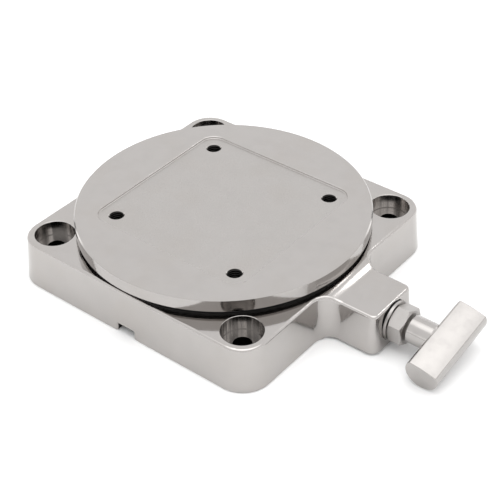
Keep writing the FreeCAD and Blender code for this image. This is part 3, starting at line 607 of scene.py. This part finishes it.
def spun(stations, around, reach_at):
    """Points and faces of a body along the clamp screw's axis, closed at both ends."""
    points, faces = [], []
    rows = len(stations)
    for along, radius in stations:
        for step in range(around):
            angle = 2 * math.pi * step / around
            reach = reach_at(along, radius, angle)
            points.append((along, reach * math.cos(angle), CLAMP_HEIGHT + reach * math.sin(angle)))
    for row in range(rows - 1):
        for step in range(around):
            after = (step + 1) % around
            faces.append((row * around + step, row * around + after,
                          (row + 1) * around + after, (row + 1) * around + step))
    for row, along in ((0, stations[0][0]), (rows - 1, stations[-1][0])):
        centre = len(points)
        points.append((along, 0, CLAMP_HEIGHT))
        for step in range(around):
            faces.append((row * around + step, row * around + (step + 1) % around, centre))
    return points, faces


def ring_sizes(node):
    """Radii about the clamp screw's axis of a turned node's points, by their X."""
    rings = {}
    for vertex in node.data.vertices:
        reach = math.hypot(vertex.co.y, vertex.co.z - CLAMP_HEIGHT)
        rings.setdefault(round(vertex.co.x, 6), set()).add(round(reach, 6))
    return rings


def thread_coil(thread, centre_x, centre_y, top, bottom):
    """Points and faces of a coil that narrows a hole down Z as a thread does."""
    turns = (top - bottom) / thread.seat_pitch
    steps = round(turns * STEPS_PER_TURN)
    half = thread.seat_pitch * ROOT_SHARE
    crest = half * CREST_SHARE
    root = THREAD_CORE + ROOT_SINK
    points, faces = [], []
    for step in range(steps + 1):
        angle = 2 * math.pi * turns * step / steps
        height = top - (top - bottom) * step / steps
        fade = min(1.0, step / RUNOUT_STEPS, (steps - step) / RUNOUT_STEPS)
        tip = THREAD_CORE - thread.seat_depth * fade
        for reach, lift in ((root, half), (tip, crest), (tip, -crest), (root, -half)):
            points.append((centre_x + reach * math.cos(angle),
                           centre_y + reach * math.sin(angle), height + lift))
    for step in range(steps):
        first = step * 4
        for side in range(4):
            following = (side + 1) % 4
            faces.append((first + side, first + following, first + 4 + following, first + 4 + side))
    faces.append((0, 1, 2, 3))
    faces.append(tuple(steps * 4 + side for side in range(4)))
    return points, faces


# ---------------------------------------------------------------- operators

class PieceOperator:
    """What the operators share."""

    bl_options = {"REGISTER", "UNDO"}


class VICEBASE_OT_castings(PieceOperator, bpy.types.Operator):
    """Finish the base and the turntable plate in polished nickel"""

    bl_idname = "vice_base.castings"
    bl_label = "Base and turntable"

    def execute(self, context):
        plate = context.scene.vice_base_plate
        polished_casting(plate).cover("base_casting")
        polished_turning(plate).cover("turntable_plate")
        return {"FINISHED"}


class VICEBASE_OT_fittings(PieceOperator, bpy.types.Operator):
    """Finish the guide bush, its washer and the handle"""

    bl_idname = "vice_base.fittings"
    bl_label = "Guide bush and handle"

    def execute(self, context):
        plate = context.scene.vice_base_plate
        brushed_fitting("satin_nickel", plate).cover("t_handle")
        brushed_fitting("dull_nickel", plate, duller=0.14).cover("guide_bush")
        washer_with_gap_shadow(plate).cover("guide_bush_washer")
        blacked_steel(plate).cover("handle_lock_screw", *[
            name for name in NODES if name.startswith("keeper_screw")])
        return {"FINISHED"}


class VICEBASE_OT_bearings(PieceOperator, bpy.types.Operator):
    """Finish the bronze bearings, brass shoe, rubber seal and steel keeper"""

    bl_idname = "vice_base.bearings"
    bl_label = "Bearings, seal and keeper"

    def execute(self, context):
        tints = context.scene.vice_base_bearing
        turned_metal("turned_bronze", tuple(tints.bronze), 0.2, "Z").cover(
            "spindle_bush", "upper_thrust_washer", "lower_thrust_washer")
        turned_metal("turned_brass", tuple(tints.brass), 0.18, "X").cover("clamp_shoe")
        moulded_rubber(tints).cover("dust_seal")
        ground_steel(context.scene.vice_base_plate).cover(
            "keeper_plate", "shoe_clip", "thrust_ball")
        return {"FINISHED"}


class VICEBASE_OT_clamp_screw(PieceOperator, bpy.types.Operator):
    """Cut a real thread on the clamp screw"""

    bl_idname = "vice_base.clamp_screw"
    bl_label = "Clamp screw"

    def execute(self, context):
        thread = context.scene.vice_base_thread
        crest = (high("clamp_screw").y - low("clamp_screw").y) / 2
        rings = ring_sizes(NODES["clamp_screw"])
        full = [x for x, reaches in rings.items() if max(reaches) > crest - TOLERANCE]
        start, end = min(full), max(full)

        def cut(along, radius, angle):
            """Radius of the thread at a point, running out at both ends."""
            if not start < along < end:
                return radius
            turn = (along / thread.clamp_pitch - angle / (2 * math.pi)) % 1
            deep = max(0.0, 1 - abs(turn - 0.5) / GROOVE_SHARE)
            fade = min(1.0, (along - start) / RUNOUT, (end - along) / RUNOUT)
            return radius - thread.clamp_depth * deep * fade

        def shoulder(x, inwards):
            """Rings of the flat face at one end of the thread."""
            return [(x, reach) for reach in sorted(rings[x], reverse=inwards)
                    if ON_AXIS < reach < crest - TOLERANCE]

        plain = []
        for x in sorted(rings):
            if start <= x <= end:
                continue
            reaches = sorted(reach for reach in rings[x] if reach > ON_AXIS)
            if len(reaches) > 1 and plain and plain[-1][1] > sum(reaches) / len(reaches):
                reaches.reverse()
            plain.extend((x, reach) for reach in reaches)
        before = [station for station in plain if station[0] < start]
        after = [station for station in plain if station[0] > end]
        steps = round((end - start) / thread.clamp_pitch * RINGS_PER_TURN)
        body = [(start + (end - start) * step / steps, crest) for step in range(steps + 1)]
        stations = before + shoulder(start, False) + body + shoulder(end, True) + after
        points, faces = spun(stations, SIDES, cut)
        steel = turned_metal("screw_steel", bright_steel(context.scene.vice_base_plate, 0.9),
                             0.22, "X", 0.15 * MM, (0.7, 0.66, 0.6))
        made = mesh_piece("clamp_screw_threaded", points, faces, steel.material,
                          "clamp_handle")
        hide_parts("clamp_screw")
        return {"FINISHED"}


class VICEBASE_OT_seat_threads(PieceOperator, bpy.types.Operator):
    """Run a thread down each of the four holes of the seat"""

    bl_idname = "vice_base.seat_threads"
    bl_label = "Seat threads"

    def execute(self, context):
        # painted shade: the thread coils are coloured nearly black, as the shade deep in the tapped
        # holes
        finish = turned_metal("tapped_steel_painted_shade", bright_steel(context.scene.vice_base_plate, 0.07),
                              0.3, "Z", 0.15 * MM, (0.4, 0.38, 0.36))
        for number, (side_x, side_y) in enumerate(product((-1, 1), repeat=2), 1):
            points, faces = thread_coil(
                context.scene.vice_base_thread, side_x * THREAD_REACH, side_y * THREAD_REACH,
                SEAT_FLOOR - SEAT_CHAMFER, PLATE_BOTTOM + PLATE_RUNOUT)
            mesh_piece(f"seat_thread_{number}", points, faces, finish.material,
                       "turntable")
        return {"FINISHED"}


class VICEBASE_OT_stage(PieceOperator, bpy.types.Operator):
    """Pale floor, soft studio light and the camera"""

    bl_idname = "vice_base.stage"
    bl_label = "Floor, light and camera"

    def strip_lamp(self, stage):
        """Long narrow lamp aimed at the curve of the boss."""
        light = bpy.data.lights.new("strip_lamp", "AREA")
        light.shape = "RECTANGLE"
        light.size, light.size_y = STRIP_SIZE
        light.energy = stage.strip_power
        lamp = bpy.data.objects.new("strip_lamp", light)
        lamp.location = BOSS_CURVE + STRIP_DIRECTION * STRIP_DISTANCE
        lamp.rotation_euler = (-STRIP_DIRECTION).to_track_quat("-Z", "Y").to_euler()
        bpy.context.scene.collection.objects.link(lamp)

    def ceiling(self, stage):
        """Wide soft light from straight above."""
        light = bpy.data.lights.new("ceiling", "SUN")
        light.angle = math.radians(60)
        light.energy = stage.ceiling_light
        lamp = bpy.data.objects.new("ceiling", light)
        bpy.context.scene.collection.objects.link(lamp)

    def camera(self, stage):
        """Camera on its bearing and rise about the aim, turned by its roll."""
        sine, cosine = math.sin(stage.bearing), math.cos(stage.bearing)
        level = math.cos(stage.rise)
        back = Vector((sine * level, -cosine * level, math.sin(stage.rise)))
        level_right = Vector((cosine, sine, 0))
        level_up = back.cross(level_right)
        across, upwards, height = stage.aim
        target = Vector((0, 0, height)) + level_right * across + level_up * upwards
        right = level_right * math.cos(stage.roll) + level_up * math.sin(stage.roll)
        up = level_up * math.cos(stage.roll) - level_right * math.sin(stage.roll)
        camera = bpy.data.objects.new("camera", bpy.data.cameras.new("camera"))
        camera.data.lens = stage.lens
        camera.data.sensor_width = 36
        turn = Matrix((right, up, back)).transposed().to_4x4()
        camera.matrix_world = Matrix.Translation(target + back * stage.distance) @ turn
        camera.data.clip_start, camera.data.clip_end = 0.01, 50
        bpy.context.scene.collection.objects.link(camera)
        bpy.context.scene.camera = camera

    def world(self, stage):
        """Light bands that the metal mirrors, and a white backdrop for the camera."""
        world = bpy.data.worlds.new("studio")
        world.use_nodes = True
        studio = Wiring(world.node_tree)
        direction = studio.node("ShaderNodeTexCoord", output="Generated")
        rise = studio.node("ShaderNodeSeparateXYZ", {}, {"Vector": direction}, "Z")
        bands = ((0.0, stage.hem_glow), (0.05, stage.hem_glow),
                 (0.09, stage.rim_glow), (0.17, stage.rim_glow),
                 (0.22, stage.wall_glow), (0.5, stage.horizon_glow),
                 (0.84, stage.horizon_glow), (0.97, stage.ceiling_glow))
        glow = studio.node("ShaderNodeValToRGB", {"stops": bands}, {"Fac": rise}, "Color")
        light = studio.node("ShaderNodeBackground", {}, {"Color": glow})
        backdrop = studio.node("ShaderNodeBackground", {}, {"Color": (1, 1, 1)})
        seen = studio.node("ShaderNodeLightPath", output="Is Camera Ray")
        chosen = studio.node("ShaderNodeMixShader", {}, {"Fac": seen, 1: light, 2: backdrop})
        studio.node("ShaderNodeOutputWorld", {}, {"Surface": chosen})
        bpy.context.scene.world = world

    def floor(self, stage):
        """Wide plain floor just under the foot."""
        work = bmesh.new()
        bmesh.ops.create_grid(work, x_segments=2, y_segments=2, size=4)
        mesh = bpy.data.meshes.new("studio_floor")
        work.to_mesh(mesh)
        work.free()
        finish = Finish("studio_floor")
        finish.surface((stage.floor_tone,) * 3, roughness=0.9)
        mesh.materials.append(finish.material)
        floor = bpy.data.objects.new("studio_floor", mesh)
        floor.location.z = -0.02 * MM
        bpy.context.scene.collection.objects.link(floor)

    def execute(self, context):
        stage = context.scene.vice_base_stage
        self.floor(stage)
        self.world(stage)
        self.camera(stage)
        self.strip_lamp(stage)
        self.ceiling(stage)
        context.scene.view_settings.view_transform = "Standard"
        return {"FINISHED"}


class VICEBASE_PT_pieces(bpy.types.Panel):
    """Lists the pieces in the sidebar"""

    bl_label = "Vice base"
    bl_idname = "VICEBASE_PT_pieces"
    bl_space_type = "VIEW_3D"
    bl_region_type = "UI"
    bl_category = "Vice base"

    def draw(self, context):
        for operator in OPERATORS:
            self.layout.operator(operator.bl_idname)
        for name, group in SETTINGS.items():
            box = self.layout.box()
            for setting in group.__annotations__:
                box.prop(getattr(context.scene, name), setting)


OPERATORS = (VICEBASE_OT_castings, VICEBASE_OT_fittings, VICEBASE_OT_bearings,
             VICEBASE_OT_clamp_screw, VICEBASE_OT_seat_threads, VICEBASE_OT_stage)


def register():
    """Register the settings, the operators and the panel."""
    for made in (*SETTINGS.values(), *OPERATORS, VICEBASE_PT_pieces):
        bpy.utils.register_class(made)
    for name, group in SETTINGS.items():
        setattr(bpy.types.Scene, name, bpy.props.PointerProperty(type=group))


def unregister():
    """Take them away again."""
    for name in SETTINGS:
        delattr(bpy.types.Scene, name)
    for made in reversed((*SETTINGS.values(), *OPERATORS, VICEBASE_PT_pieces)):
        bpy.utils.unregister_class(made)


def main():
    register()
    for operator in OPERATORS:
        group, name = operator.bl_idname.split(".")
        getattr(getattr(bpy.ops, group), name)()


if __name__ == "__main__":
    main()
